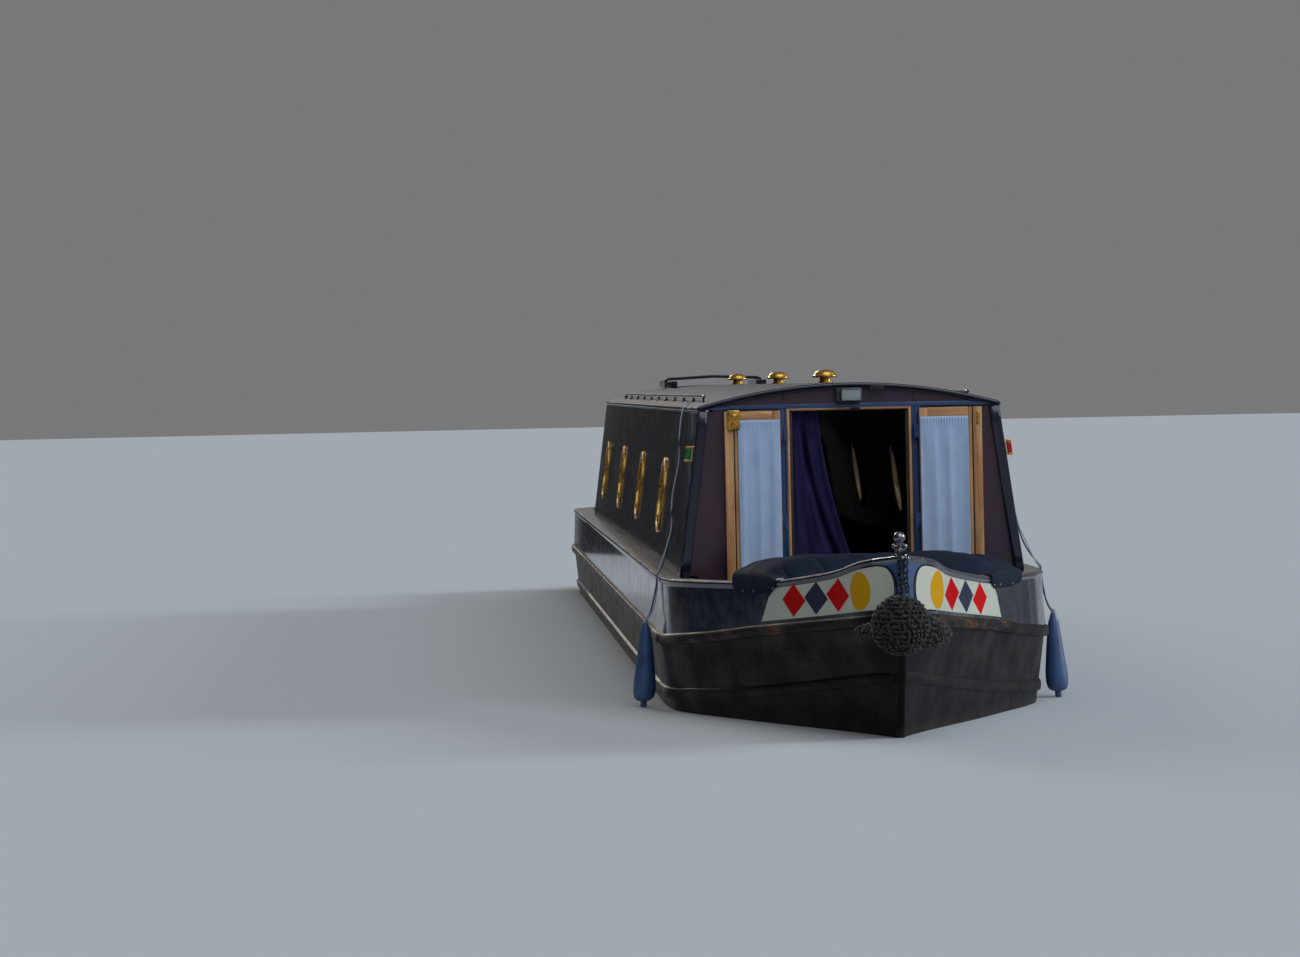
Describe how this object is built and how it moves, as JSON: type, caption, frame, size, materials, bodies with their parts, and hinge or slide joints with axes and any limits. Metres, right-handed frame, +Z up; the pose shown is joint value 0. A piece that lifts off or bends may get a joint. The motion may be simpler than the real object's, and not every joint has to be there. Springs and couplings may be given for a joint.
{
  "type": "narrowboat",
  "caption": "Full-length steel canal narrowboat with a hollow cabin, covered bow well, opening doors, sliding hatch, steered rudder and turning propeller.",
  "frame": {"origin": "centre of the length and beam, on the underside of the base plate", "axes": "+Y towards the stern, bow at -Y, +X to port, +Z up; the waterline is at z = 0.53 m"},
  "size_m": [2.352, 17.949, 2.346],
  "materials": {
    "blacking": "matt tar-like hull coating with brown scuffs along the guards",
    "navy_paint": "glossy deep navy coach paint with cream and diamond panels at the bow",
    "roof_paint": "satin navy deck paint",
    "maroon_paint": "gloss dark maroon cabin front",
    "varnished_wood": "varnished hardwood",
    "floor_boards": "worn boards",
    "canvas": "dark navy coated canvas",
    "curtain_cloth": "pale blue gathered cotton",
    "purple_cloth": "dark purple cloth",
    "tarred_rope": "knotted black rope",
    "fender_line": "braided white and blue line",
    "blue_vinyl": "scuffed inflated vinyl",
    "brass": "polished and a little tarnished",
    "bare_steel": "worn galvanised steel",
    "engine_paint": "plain engine enamel",
    "red_lens": "moulded red lens",
    "green_lens": "moulded green lens"
  },
  "bodies": {
    "hull": {"base_plate": "blacking", "counter_shell": "blacking", "stem": "blacking", "skeg": "blacking", "uxter_plate": "blacking", "bow_shell_port": "blacking", "bow_shell_starboard": "blacking", "hull_side_port": "blacking", "hull_side_starboard": "blacking", "swim_port": "blacking", "swim_starboard": "blacking", "counter_topside": "navy_paint", "foredeck": "navy_paint", "locker_bulkhead": "navy_paint", "topside_bow_port": "navy_paint", "topside_bow_starboard": "navy_paint", "topside_port": "navy_paint", "topside_starboard": "navy_paint", "cabin_side_port": "navy_paint", "cabin_side_starboard": "navy_paint", "roof": "roof_paint", "well_floor": "roof_paint", "aft_deck": "roof_paint", "front_bulkhead": "maroon_paint", "rear_bulkhead": "maroon_paint", "doorway_frame": "varnished_wood", "cabin_floor": "floor_boards", "well_cover": "canvas", "inner_curtain": "purple_cloth", "bow_fender": "tarred_rope", "stern_fender": "tarred_rope", "fender_line_port": "fender_line", "fender_line_starboard": "fender_line", "side_fender_port": "blue_vinyl", "side_fender_starboard": "blue_vinyl", "roof_vent_1": "brass", "roof_vent_2": "brass", "roof_vent_3": "brass", "tunnel_lamp": "bare_steel", "t_stud": "bare_steel", "bow_chain": "bare_steel", "stern_tube": "bare_steel", "engine": "engine_paint", "nav_lamp_port": "red_lens", "nav_lamp_starboard": "green_lens"},
    "locker_lid": {"locker_lid": "navy_paint"},
    "front_door_port": {"front_door_port": "navy_paint", "door_curtain_port": "curtain_cloth"},
    "front_door_starboard": {"front_door_starboard": "navy_paint", "door_curtain_starboard": "curtain_cloth"},
    "rear_door_port": {"rear_door_port": "navy_paint"},
    "rear_door_starboard": {"rear_door_starboard": "navy_paint"},
    "hatch": {"hatch": "navy_paint"},
    "rudder": {"rudder": "bare_steel", "tiller": "brass"},
    "propeller": {"propeller": "brass"}
  },
  "joints": [
    {"name": "locker_lid_hinge", "type": "hinge", "parent": "hull", "child": "locker_lid", "pos_m": [0, -8.0495, 1.35128], "axis": [1, 0, 0], "range_deg": [0, 100]},
    {"name": "front_door_port_hinge", "type": "hinge", "parent": "hull", "child": "front_door_port", "pos_m": [0.3525, -6.0995, 1.49], "axis": [0, 0, -1], "range_deg": [0, 180]},
    {"name": "front_door_starboard_hinge", "type": "hinge", "parent": "hull", "child": "front_door_starboard", "pos_m": [-0.3525, -6.0995, 1.49], "axis": [0, 0, 1], "range_deg": [0, 180]},
    {"name": "rear_door_port_hinge", "type": "hinge", "parent": "hull", "child": "rear_door_port", "pos_m": [0.3525, 6.1885, 1.66], "axis": [0, 0, -1], "range_deg": [0, 170]},
    {"name": "rear_door_starboard_hinge", "type": "hinge", "parent": "hull", "child": "rear_door_starboard", "pos_m": [-0.3525, 6.1885, 1.66], "axis": [0, 0, 1], "range_deg": [0, 170]},
    {"name": "hatch_slide", "type": "slide", "parent": "hull", "child": "hatch", "axis": [0, -1, 0], "range_m": [0, 0.78]},
    {"name": "rudder_hinge", "type": "hinge", "parent": "hull", "child": "rudder", "pos_m": [0, 8.2945, 0.8], "axis": [0, 0, 1], "range_deg": [-40, 40]},
    {"name": "propeller_spin", "type": "hinge", "parent": "hull", "child": "propeller", "pos_m": [0, 7.9645, 0.265], "axis": [0, 1, 0], "continuous": true}
  ]
}
